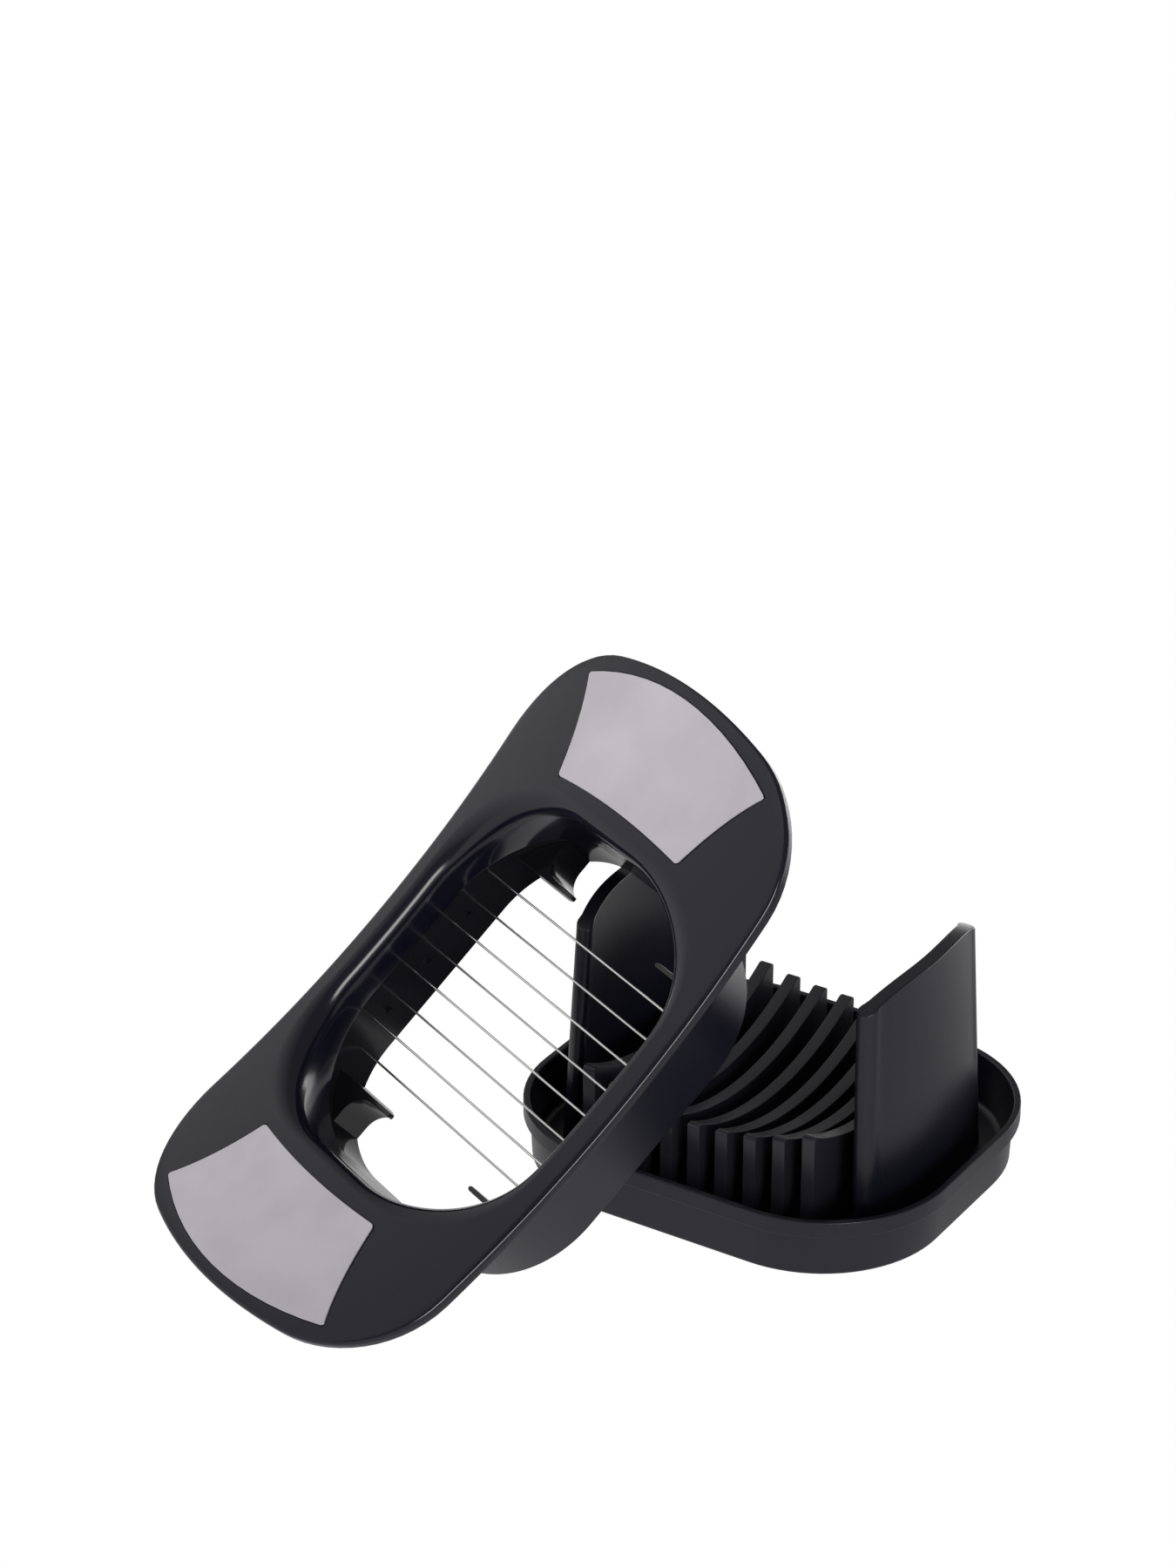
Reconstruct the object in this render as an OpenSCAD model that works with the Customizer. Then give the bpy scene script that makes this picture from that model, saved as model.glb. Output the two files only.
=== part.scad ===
// Egg slicer: slatted base with two guide towers, and a hand press strung with wires.
// Millimetres, +Z up, origin at the centre of the underside of the base.

/* [Slicing pitch] */

// Spacing of the wires and of the slats
pitch = 6.5; // [5.5:0.05:6.7]

/* [Tray] */

// Length of the tray over its lip
tray_length = 96.6; // [95:0.2:130]
// Width of the tray over its lip
tray_width = 83; // [82.8:0.2:110]
// Corner radius of the tray
tray_corner = 28.8; // [20:0.2:29.4]
// Height of the tray lip above the table
tray_height = 13.5; // [10:0.5:20]
// Thickness of the lip
tray_wall = 1.4; // [1:0.05:1.6]
// Thickness of the tray floor
tray_floor = 2.4; // [1.6:0.1:4]
// How far the lip stands out past the wall along the sides
lip_side = 0.8; // [0.4:0.1:1]
// How far the lip stands out past the wall at the ends
lip_end = 1.5; // [0.4:0.1:2]
// Height of the band that forms the lip
lip_band = 4; // [2:0.5:6]

/* [Slats] */

// Thickness of one slat
slat_thick = 3; // [2:0.1:4]
// Length of the middle slat
slat_length = 63.8; // [50:0.2:66]
// How much shorter the outermost slats are
slat_taper = 2.8; // [0:0.2:8]
// Height of the tips of the middle slat
slat_height = 22.3; // [18:0.1:30]
// How much higher the outermost slats stand
slat_rise = 4.7; // [0:0.1:10]
// Depth of the hollow in which the egg lies
slat_hollow = 7.5; // [4:0.1:12]

/* [Towers] */

// Distance of the tower edges from the middle of the base, at the top
tower_reach = 33.2; // [31:0.1:34]
// How much further out the tower edges are at the foot
tower_lean = 1.9; // [0:0.1:2.4]
// Distance from one edge of a tower to the other, at the top
tower_span = 41; // [30:0.2:44]
// How much wider a tower is at its foot
tower_taper = 5.2; // [0:0.2:7]
// Radius of the curve of a tower
tower_radius = 80; // [60:1:200]
// Wall thickness of a tower
tower_wall = 3.2; // [1.6:0.1:3.8]
// Radius of the rounded tower edges
tower_bead = 2; // [1.2:0.1:2.4]
// Height of the tower edges above the table
tower_height = 53.4; // [40:0.1:60]
// How much higher a tower stands in its middle
tower_crown = 3.4; // [0.5:0.1:6]
// How full the crown is, 2 for a plain arch and more for a flatter middle
tower_fullness = 3; // [2:0.1:6]

/* [Press frame] */

// Length of the press frame
press_length = 152.4; // [140:0.2:180]
// Width of the press frame
press_width = 89; // [87:0.2:110]
// Radius of the long arc at each end of the frame
press_end_radius = 115; // [90:1:160]
// Corner radius of the frame
press_corner = 25.7; // [20:0.1:30]
// Radius of the upward bow along the frame
press_bow = 296; // [220:1:600]
// Height of the crown across the frame
press_crown = 4.9; // [2:0.1:6]
// How far the long sides of the top lie below the level that depths are measured from
side_drop = 1; // [0:0.1:2]
// Thickness of the top sheet and height of its edge
press_sheet = 2.4; // [1.8:0.1:4]
// Half length of the opening
opening_x = 41.3; // [41.3:0.1:44]
// Half width of the opening
opening_y = 37.1; // [34:0.05:37.4]
// Corner radius of the opening
opening_corner = 22.5; // [16:0.5:24]
// Corner radius of the opening at the rolled edge
roll_corner = 28; // [24:0.5:30]
// Depth of the skirt
skirt_depth = 22.3; // [16:0.1:30]
// Thickness of the skirt wall below the wire ring
skirt_wall = 0.9; // [0.7:0.05:1.1]
// Thickness of the wire ring
ring_wall = 0.9; // [0.7:0.05:1.1]
// Depth of the top edge of the wire ring
ring_top = 9; // [7:0.1:14]
// Width of the rolled edge round the opening
funnel = 3.1; // [1:0.1:3.3]
// Depth of the rolled edge round the opening
funnel_depth = 5; // [1:0.1:8]
// Rounding of the outer edge of the frame
press_round = 0.9; // [0.4:0.1:1]

/* [Wires and guides] */

// Wire diameter
wire_d = 0.5; // [0.3:0.05:1]
// Depth of the upper wires below the frame edge
wire_upper = 11.4; // [10:0.1:20]
// Depth of the lower wires below the frame edge
wire_lower = 16.4; // [10:0.1:21]
// Thickness of a guide fin at its tip
fin_thick = 1.1; // [0.8:0.1:2]
// Radius of the hollow between a guide fin and the end wall
fin_root = 5; // [2:0.1:6]
// Distance of the middle of that hollow from the long centre line
fin_corner = 21.5; // [19:0.1:24]
// Distance of the fin tips from the middle of the frame
fin_tip = 15; // [12:0.1:30]
// Depth of the top of a fin
fin_top = 13.3; // [10:0.1:16]
// Height of a fin at its tip
fin_tip_height = 1.4; // [0.5:0.1:6]

/* [Grip plates] */

// Thickness of the steel grip plates
plate_thick = 0.5; // [0.4:0.1:1.5]
// Distance of the outer edge of a plate from the middle of the frame
plate_end = 73.4; // [68:0.1:74]
// Radius of the outer edge of a plate
plate_outer = 78; // [70:0.5:100]
// Half width of a plate at its outer edge
plate_half_out = 30.7; // [20:0.1:32]
// Distance of the inner edge of a plate from the middle of the frame
plate_start = 47.4; // [47:0.1:60]
// Radius of the inner edge of a plate
plate_inner = 190; // [40:1:250]
// Half width of a plate at its inner edge
plate_half_in = 21; // [15:0.1:28]
// How far the sides of a plate are drawn in
plate_waist = 0.7; // [0:0.1:2]

/* [Pose of the press] */

// Where the press is: off the base and leaning on it, or seated, or raised on the towers
press_pose = "leaning"; // [leaning, seated, raised]
// Turn of the leaning press about the upright
lean_turn = 63.9; // [0:0.1:90]
// Slope of the leaning press
lean_slope = 41.3; // [20:0.1:60]
// Sideways tilt of the leaning press
lean_tilt = 4.2; // [-10:0.1:15]
// Middle of the leaning press, along the base
lean_x = -38.2; // [-80:0.1:0]
// Middle of the leaning press, across the base
lean_y = -50.1; // [-90:0.1:0]
// Middle of the leaning press, above the table
lean_z = 46.05; // [20:0.05:80]
// How far the raised press stands above its seat
lift = 46; // [0:1:60]

/* [Hidden] */

$fn = 64;
wires = 8;
slack = 0.01;
peg_r = 0.7;
tower_floor = tray_floor;
slat_tip = 1;
slat_rim = 0.3;
peg_out = 1;
plate_gap = 0.04;
slats = wires + 1;
half_x = tray_length / 2;
half_y = tray_width / 2;
seat_gap = 0.4;
seat_z = tray_floor + seat_gap + skirt_depth;
black = [0.17, 0.17, 0.18];
dark = [0.11, 0.11, 0.12];
steel = [0.72, 0.71, 0.72];
bright = [0.85, 0.85, 0.86];

// Which sub-part to build

// Rounded rectangle with half sizes hx and hy
module rounded(hx, hy, r) {
  union() {
    square([2 * hx, 2 * (hy - r)], center = true);
    square([2 * (hx - r), 2 * hy], center = true);
    for (sx = [-1, 1], sy = [-1, 1])
      translate([sx * (hx - r), sy * (hy - r)]) circle(r = r);
  }
}

// Sweep a profile round a rounded rectangle, profile x = 0 on the line itself
module sweep_round(hx, hy, r) {
  for (s = [0, 1]) rotate([0, 0, 180 * s]) {
    translate([hx - r, hy - r, 0]) rotate_extrude(angle = 90) translate([r, 0]) children();
    translate([-(hx - r), hy - r, 0]) rotate([0, 0, 90])
      rotate_extrude(angle = 90) translate([r, 0]) children();
    translate([hx, hy - r, 0]) rotate([90, 0, 0])
      linear_extrude(height = 2 * (hy - r)) children();
    translate([-(hx - r), hy, 0]) rotate([90, 0, 90])
      linear_extrude(height = 2 * (hx - r)) children();
  }
}

// ---- base ----

module base_tray() {
  low = tray_height - lip_band;
  hx = half_x - lip_end;
  hy = half_y - lip_side;
  corner = tray_corner - 0.3;
  color(black) union() {
    // lip
    difference() {
      union() {
        translate([0, 0, low + 0.3]) linear_extrude(height = lip_band - 1)
          rounded(half_x, half_y, tray_corner);
        translate([0, 0, low]) linear_extrude(height = lip_band)
          rounded(half_x - 0.5, half_y - 0.5, tray_corner - 0.5);
        translate([0, 0, low + 0.1]) linear_extrude(height = lip_band - 0.3)
          rounded(half_x - 0.2, half_y - 0.2, tray_corner - 0.2);
      }
      translate([0, 0, low - 1]) linear_extrude(height = lip_band + 2)
        rounded(half_x - tray_wall, half_y - tray_wall, tray_corner - tray_wall);
    }
    // wall below the lip
    sweep_round(hx, hy, corner)
      polygon([
        [-1.7, 0], [-1.1, 0], [-0.4, 0.9], [0, low], [0, low + 0.2],
        [-0.65, low + 0.2], [-1.3, low - 1.6], [-1.4, tray_floor + 0.3], [-1.7, tray_floor]
      ]);
    linear_extrude(height = tray_floor) rounded(hx - 1.6, hy - 1.6, corner - 1.6);
  }
}

function slat_x(i) = (i - (slats + 1) / 2) * pitch;
function edge_share(i) = pow(slat_x(i) / slat_x(slats), 2);
function slat_len(i) = slat_length - slat_taper * edge_share(i);
function slat_top(i) = slat_height + slat_rise * edge_share(i);

module slat(i) {
  len = slat_len(i);
  top = slat_top(i);
  rim = len / 2 - slat_tip;
  r = (pow(rim - slat_rim, 2) + pow(slat_hollow, 2)) / (2 * slat_hollow);
  color(dark)
    translate([slat_x(i) - slat_thick / 2, 0, 0]) rotate([90, 0, 90])
      linear_extrude(height = slat_thick)
        difference() {
          union() {
            translate([-len / 2, tray_floor]) square([len, top - slat_tip - tray_floor]);
            translate([-rim, tray_floor]) square([2 * rim, top - tray_floor]);
            for (s = [-1, 1]) translate([s * rim, top - slat_tip]) circle(r = slat_tip);
          }
          translate([0, top - slat_hollow + r]) circle(r = r, $fn = 200);
        }
}

// Right tower: a curved plate between two rounded edges, wider and further out at its foot
module tower() {
  rise = tower_height - tower_floor;
  top_y = tower_span / 2;
  foot_y = top_y + tower_taper / 2;
  foot_x = tower_reach + tower_lean;
  sag = function (y) tower_radius - sqrt(pow(tower_radius, 2) - y * y);
  drop = foot_x + sag(foot_y) - tower_reach - sag(top_y);
  edge = [tower_reach - foot_x, top_y - foot_y, rise];
  hr = top_y + tower_bead;
  steps = 18;
  color(black)
    intersection() {
      union() {
        intersection() {
          translate([foot_x + sag(foot_y) - tower_radius, 0, tower_floor])
            rotate([0, -atan(drop / rise), 0]) translate([0, 0, -20]) difference() {
              cylinder(r = tower_radius + tower_wall / 2, h = 3 * rise, $fn = 300);
              translate([0, 0, -1])
                cylinder(r = tower_radius - tower_wall / 2, h = 3 * rise + 2, $fn = 300);
            }
          translate([20, 0, tower_floor]) rotate([90, 0, 90])
            linear_extrude(height = half_x) polygon([
              [-foot_y, 0], [foot_y, 0], [2 * top_y - foot_y, 2 * rise],
              [foot_y - 2 * top_y, 2 * rise]]);
        }
        for (s = [-1, 1]) translate([foot_x, s * foot_y, tower_floor])
          rotate([0, acos(edge[2] / norm(edge)), atan2(s * edge[1], edge[0])])
            translate([0, 0, -5]) cylinder(r = tower_bead, h = rise + 20);
      }
      rotate([90, 0, 90]) linear_extrude(height = half_x) polygon(concat(
        [[2 * hr, tower_floor], [2 * hr, tower_height]],
        [for (k = [steps:-1:-steps]) let (u = k / steps)
          [hr * u, tower_height + tower_crown * (1 - pow(abs(u), tower_fullness))]],
        [[-2 * hr, tower_height], [-2 * hr, tower_floor]]));
    }
}

module right_tower() { tower(); }
module left_tower() { mirror([1, 0, 0]) tower(); }

// ---- press ----

// Centre of the arc that closes an end of the frame
function end_centre() = press_length / 2 - press_end_radius;
// Centre of the corner that joins the end arc to the straight side
function corner_y() = press_width / 2 - press_corner;
function corner_x() = end_centre()
  + sqrt(pow(press_end_radius - press_corner, 2) - pow(corner_y(), 2));

// Plan of the frame, drawn in by d
module press_plan(d = 0) {
  cx = corner_x();
  cy = corner_y();
  a = atan2(cy, cx - end_centre());
  n = 10;
  quarter = concat(
    [for (k = [0:n]) let (t = a * k / n)
      [end_centre() + (press_end_radius - d) * cos(t), (press_end_radius - d) * sin(t)]],
    [for (k = [1:n]) let (t = a + (90 - a) * k / n)
      [cx + (press_corner - d) * cos(t), cy + (press_corner - d) * sin(t)]]);
  m = len(quarter);
  polygon(concat(
    quarter,
    [for (k = [m - 1:-1:0]) [-quarter[k][0], quarter[k][1]]],
    [for (k = [1:m - 1]) [-quarter[k][0], -quarter[k][1]]],
    [for (k = [m - 1:-1:1]) [quarter[k][0], -quarter[k][1]]]));
}

// Height of the bowed and crowned top above the level that depths are measured from
function top_at(p) = press_bow - sqrt(pow(press_bow, 2) - pow(p[0], 2)) - side_drop
  + press_crown * (1 - pow(p[1] / (press_width / 2), 2));

module opening_plan(d = 0) {
  rounded(opening_x + d, opening_y + d, opening_corner + d);
}

// Stations round the opening, each [point, outward direction]
side_steps = 6;
corner_steps = 20;
end_steps = 5;
function quarter_stations() =
  let (cx = opening_x - opening_corner, cy = opening_y - opening_corner) concat(
    [for (k = [0:end_steps - 1]) [[opening_x, cy * k / end_steps], [1, 0]]],
    [for (k = [0:corner_steps]) let (t = 90 * k / corner_steps)
      [[cx + opening_corner * cos(t), cy + opening_corner * sin(t)], [cos(t), sin(t)]]],
    [for (k = [1:side_steps]) [[cx * (1 - k / side_steps), opening_y], [0, 1]]]);
function flip(q, sx, sy) = [[q[0][0] * sx, q[0][1] * sy], [q[1][0] * sx, q[1][1] * sy]];
function stations() = let (q = quarter_stations(), m = len(q)) concat(
  q,
  [for (k = [m - 2:-1:0]) flip(q[k], -1, 1)],
  [for (k = [1:m - 1]) flip(q[k], -1, -1)],
  [for (k = [m - 2:-1:1]) flip(q[k], 1, -1)]);

// Distance along a ray to a circle about [cx, cy]
function to_circle(p, v, cx, cy, r) =
  let (x = p[0] - cx, y = p[1] - cy, b = x * v[0] + y * v[1])
  -b + sqrt(b * b - x * x - y * y + r * r);
// Distance from a station to the outer edge of the frame
function to_edge(q) =
  let (p = [abs(q[0][0]), abs(q[0][1])], v = [abs(q[1][0]), abs(q[1][1])],
    side = v[1] > 0.001 ? (press_width / 2 - p[1]) / v[1] : 1000,
    corner = to_circle(p, v, corner_x(), corner_y(), press_corner),
    seam = atan2(corner_y(), corner_x() - end_centre()),
    hit = p + corner * v)
  p[0] + side * v[0] <= corner_x() ? side
    : atan2(hit[1] - corner_y(), hit[0] - corner_x()) >= seam ? corner
    : to_circle(p, v, end_centre(), 0, press_end_radius);

// How far the rolled edge stands in past a station in a corner of the opening
function roll_in(q) =
  let (p = [abs(q[0][0]), abs(q[0][1])], v = [abs(q[1][0]), abs(q[1][1])],
    cx = opening_x - roll_corner, cy = opening_y - roll_corner)
  min(p[0] - cx, p[1] - cy) <= 0 ? 0 : -to_circle(p, v, cx, cy, roll_corner);

// Cross-section of the frame at a station: from the skirt, over the rolled edge and the top,
// round the outer edge, and back beneath
arc_steps = 6;
top_steps = 7;
under_steps = 3;
function section(q) =
  let (reach = to_edge(q),
    wall = ring_wall + skirt_wall,
    roll_start = -roll_in(q),
    roll = funnel - roll_start,
    at = function (d) q[0] + d * q[1],
    lift = function (d) top_at(at(d)),
    flat = reach - press_round - funnel)
  [for (s = concat(
    [[wall, -skirt_depth], [ring_wall, -skirt_depth], [ring_wall, -ring_top],
     [roll_start, -ring_top]],
    [for (k = [0:arc_steps]) let (t = 90 * k / arc_steps)
      [roll_start + roll * (1 - cos(t)), lift(funnel) - funnel_depth * (1 - sin(t))]],
    [for (k = [1:top_steps]) let (d = funnel + flat * k / top_steps) [d, lift(d)]],
    [for (k = [1:3]) let (t = 30 * k)
      [reach - press_round * (1 - sin(t)), lift(reach) - press_round * (1 - cos(t))]],
    [for (k = [0:under_steps]) let (d = reach + (wall - reach) * k / under_steps)
      [d, lift(d) - press_sheet]]))
    let (p = at(s[0])) [p[0], p[1], s[1]]];

module press_frame() {
  st = stations();
  n = len(st);
  k = len(section(st[0]));
  at_press() color(black)
    polyhedron(
      points = [for (q = st) each section(q)],
      faces = [for (i = [0:n - 1], j = [0:k - 1])
        let (i2 = (i + 1) % n, j2 = (j + 1) % k,
          a = i * k + j, b = i * k + j2, c = i2 * k + j2, d = i2 * k + j)
        each [[a, c, b], [a, d, c]]]);
}

// Ring that carries the wires, with a peg inside each turn of the wire
module wire_ring() {
  dz = (wire_lower - wire_upper) / 2;
  slope = atan(2 * dz / pitch);
  at_press() color(dark) union() {
    translate([0, 0, -skirt_depth]) linear_extrude(height = skirt_depth - ring_top)
      difference() {
        opening_plan(ring_wall);
        opening_plan();
      }
    for (i = [1:wires - 1])
      translate([wire_x(i) - pitch / 2, turn_side(i) * (opening_y - peg_out / 2 + slack),
          -wire_upper - dz - (peg_r + wire_d / 2 + 0.1) / cos(slope)])
        rotate([90, 0, 0]) cylinder(r = peg_r, h = peg_out, center = true, $fn = 24);
  }
}

function wire_x(i) = ((wires + 1) / 2 - i) * pitch;
function wire_z(i) = i % 2 == 1 ? -wire_upper : -wire_lower;
// Side of the opening on which wire i turns over to the next one
function turn_side(i) = i % 2 == 0 ? 1 : -1;

module wire(i) {
  s = turn_side(i);
  r = wire_d / 2;
  last = i == wires;
  far = last ? opening_y : opening_y - r;
  dx = -pitch;
  dz = wire_z(i + 1) - wire_z(i);
  run = norm([dx, dz]);
  at_press() color(bright) union() {
    translate([wire_x(i), -s * opening_y, wire_z(i)]) rotate([-s * 90, 0, 0])
      cylinder(r = r, h = opening_y + far, $fn = 16);
    if (!last) translate([wire_x(i), s * far, wire_z(i)]) {
      sphere(r = r, $fn = 16);
      rotate([0, atan2(dx, dz), 0]) cylinder(r = r, h = run - wire_d * 1.2, $fn = 16);
    }
  }
}

// Guide fin in the corner given by the two signs: a blade that runs out from the corner in a
// hollow curve, full depth at the wall and shallow at its tip
module fin(sx, sy) {
  n = 10;
  x0 = (wires + 1) / 2 * pitch - fin_thick / 2;
  x1 = x0 + fin_thick;
  at_press() color(dark)
    mirror([sx < 0 ? 1 : 0, 0, 0]) mirror([0, sy < 0 ? 1 : 0, 0])
      intersection() {
        translate([0, 0, -skirt_depth]) linear_extrude(height = skirt_depth - fin_top)
          intersection() {
            opening_plan();
            polygon(concat(
              [[x0, opening_y + 1], [x0, fin_tip + fin_thick / 2],
               [x0 + fin_thick * 0.3, fin_tip], [x0 + fin_thick * 0.7, fin_tip],
               [x1, fin_tip + fin_thick / 2]],
              [for (k = [0:n]) let (t = 180 - 90 * k / n)
                [x1 + fin_root * (1 + cos(t)), fin_corner + fin_root * sin(t)]],
              [[opening_x + 1, fin_corner + fin_root], [opening_x + 1, opening_y + 1]]));
          }
        rotate([90, 0, 90]) linear_extrude(height = 2 * opening_x)
          polygon([
            [fin_tip - 1, -fin_top], [opening_y + 1, -fin_top], [opening_y + 1, -skirt_depth],
            [fin_corner + 2, -skirt_depth], [fin_tip, -fin_top - fin_tip_height],
            [fin_tip - 1, -fin_top - fin_tip_height]]);
      }
}

// Everything between two heights over the bowed and crowned top
module over_top(from, to) {
  hw = press_width / 2;
  n = 12;
  reach = 1.05 * hw;
  shell = function (y, h) press_bow - h + side_drop - press_crown * (1 - pow(y / hw, 2));
  translate([0, 0, press_bow]) rotate([-90, 0, 0]) rotate([0, 0, 71])
    rotate_extrude(angle = 38, $fn = 360)
      polygon(concat(
        [for (k = [-n:n]) let (y = reach * k / n) [shell(y, to), y]],
        [for (k = [n:-1:-n]) let (y = reach * k / n) [shell(y, from), y]]));
}

// Plan of a grip plate: two arcs with drawn-in sides between them
module plate_plan() {
  n = 8;
  ao = asin(plate_half_out / plate_outer);
  ai = asin(plate_half_in / plate_inner);
  co = plate_end - plate_outer;
  ci = plate_start - plate_inner;
  outer = [co + plate_outer * cos(ao), plate_half_out];
  inner = [ci + plate_inner * cos(ai), plate_half_in];
  side = [for (k = [1:n - 1]) let (u = k / n, m = outer + (inner - outer) * u)
    [m[0], m[1] - plate_waist * 4 * u * (1 - u)]];
  polygon(concat(
    [for (k = [-n:n]) let (t = ao * k / n) [co + plate_outer * cos(t), plate_outer * sin(t)]],
    side,
    [for (k = [n:-1:-n]) let (t = ai * k / n) [ci + plate_inner * cos(t), plate_inner * sin(t)]],
    [for (k = [n - 2:-1:0]) [side[k][0], -side[k][1]]]));
}

module grip_plate() {
  intersection() {
    translate([0, 0, -10]) linear_extrude(height = 40) plate_plan();
    over_top(plate_gap, plate_gap + plate_thick);
  }
}

// Place of the press in the shared frame
module at_press() {
  if (press_pose == "leaning")
    translate([lean_x, lean_y, lean_z]) rotate([lean_tilt, -lean_slope, lean_turn]) children();
  else
    translate([0, 0, seat_z + (press_pose == "raised" ? lift : 0)]) children();
}

base_tray();
left_tower();
right_tower();
slat(1);  // slat_1
slat(2);  // slat_2
slat(3);  // slat_3
slat(4);  // slat_4
slat(5);  // slat_5
slat(6);  // slat_6
slat(7);  // slat_7
slat(8);  // slat_8
slat(9);  // slat_9
press_frame();
wire_ring();
wire(1);  // wire_1
wire(2);  // wire_2
wire(3);  // wire_3
wire(4);  // wire_4
wire(5);  // wire_5
wire(6);  // wire_6
wire(7);  // wire_7
wire(8);  // wire_8
fin(1, 1);  // guide_fin_1
fin(1, -1);  // guide_fin_2
fin(-1, 1);  // guide_fin_3
fin(-1, -1);  // guide_fin_4
at_press() color(steel) grip_plate();  // upper_grip_plate
at_press() color(steel) rotate([0, 0, 180]) grip_plate();  // lower_grip_plate
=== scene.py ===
import math

import bpy
from mathutils import Euler, Matrix, Vector


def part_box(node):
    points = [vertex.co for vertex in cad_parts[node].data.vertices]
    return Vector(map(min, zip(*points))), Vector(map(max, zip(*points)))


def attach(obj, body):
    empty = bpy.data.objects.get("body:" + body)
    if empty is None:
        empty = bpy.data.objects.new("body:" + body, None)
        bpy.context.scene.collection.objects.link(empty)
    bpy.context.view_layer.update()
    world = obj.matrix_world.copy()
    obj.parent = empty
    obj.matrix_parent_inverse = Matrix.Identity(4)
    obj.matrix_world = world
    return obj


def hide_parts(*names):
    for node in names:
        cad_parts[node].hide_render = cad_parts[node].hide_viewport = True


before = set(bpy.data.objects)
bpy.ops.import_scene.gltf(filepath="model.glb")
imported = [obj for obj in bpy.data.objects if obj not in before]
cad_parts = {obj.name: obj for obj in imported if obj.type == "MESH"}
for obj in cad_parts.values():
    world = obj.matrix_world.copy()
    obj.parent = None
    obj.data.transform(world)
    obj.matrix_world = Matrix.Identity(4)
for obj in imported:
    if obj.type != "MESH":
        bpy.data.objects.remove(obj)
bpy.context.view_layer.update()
mm = 0.001
near = 0.01 * mm  # close enough to be the same place
bpy.ops.object.select_all(action="DESELECT")
print("frame loaded:", len(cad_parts), "nodes")


# camera, light and floor
view = {
    "place": (0.400713, -0.700263, 0.495150),
    "turn": (63.0994, -0.0447, 32.5398),
    "lens": 102.794,
    "filmHeight": 36,
}

studio = {
    "skyDim": 0.20,
    "skyBright": 0.80,
    "skySide": (-0.90, -0.30, 0.30),
    "skyEdge": 0.28,  # where the brighter side begins
    "floorSize": 6.0,
    "floorLevel": -0.0002,
    # how bright the floor is in reflections, from the front to the back
    "sweepFront": -0.20,
    "sweepBack": 0.30,
    "sweep": [(0.0, 0.27), (0.35, 0.21), (0.52, 0.14), (0.68, 0.20), (1.0, 1.0)],
    "sweepTop": 2.6,
    "lampsAim": (-0.02, -0.03, 0.04),
    # name, direction from the slicer, direction along, distance, width, length, radiance
    "lamps": [
        ("sideSoftbox", (0.78, -0.58, 0.22), (0.33, 0.67, 0.66), 1.3, 0.32, 0.60, 9.0),
        ("backSoftbox", (0.40, 0.90, 0.12), (0.00, 0.00, 1.00), 1.4, 0.50, 0.36, 4.0),
    ],
}


def makeCamera():
    bpy.ops.object.camera_add(location=view["place"])
    camera = bpy.context.object
    camera.name = "studioCamera"
    camera.rotation_euler = Euler([math.radians(a) for a in view["turn"]])
    camera.data.sensor_fit = "VERTICAL"
    camera.data.sensor_height = view["filmHeight"]
    camera.data.lens = view["lens"]
    bpy.context.scene.camera = camera


def makeLamps():
    middle = Vector(studio["lampsAim"])
    for name, toward, along, distance, width, length, radiance in studio["lamps"]:
        toward = Vector(toward).normalized()
        bpy.ops.object.light_add(type="AREA", location=middle + toward * distance)
        lamp = bpy.context.object
        lamp.name = name
        lamp.data.shape = "RECTANGLE"
        lamp.data.size, lamp.data.size_y = width, length
        lamp.data.energy = radiance * math.pi * width * length
        along = Vector(along)
        up = (along - toward * along.dot(toward)).normalized()
        turn = Matrix((up.cross(toward), up, toward)).transposed()
        lamp.rotation_euler = turn.to_euler()


def makeSky():
    # white to the eye, and brighter from one side for everything it lights
    sky = bpy.data.worlds.new("studioSky")
    sky.use_nodes = True
    bpy.context.scene.world = sky
    tree = sky.node_tree
    back = tree.nodes["Background"]
    back.inputs["Color"].default_value = (1, 1, 1, 1)
    toward = tree.nodes.new("ShaderNodeTexCoord")
    facing = tree.nodes.new("ShaderNodeVectorMath")
    facing.operation = "DOT_PRODUCT"
    facing.inputs[1].default_value = studio["skySide"]
    glow = tree.nodes.new("ShaderNodeMapRange")
    glow.inputs["From Min"].default_value = studio["skyEdge"]
    glow.inputs["To Min"].default_value = studio["skyDim"]
    glow.inputs["To Max"].default_value = studio["skyBright"]
    path = tree.nodes.new("ShaderNodeLightPath")
    seen = tree.nodes.new("ShaderNodeMix")
    seen.inputs["B"].default_value = 1.0
    tree.links.new(toward.outputs["Generated"], facing.inputs[0])
    tree.links.new(facing.outputs["Value"], glow.inputs["Value"])
    tree.links.new(path.outputs["Is Camera Ray"], seen.inputs["Factor"])
    tree.links.new(glow.outputs["Result"], seen.inputs["A"])
    tree.links.new(seen.outputs["Result"], back.inputs["Strength"])


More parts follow.
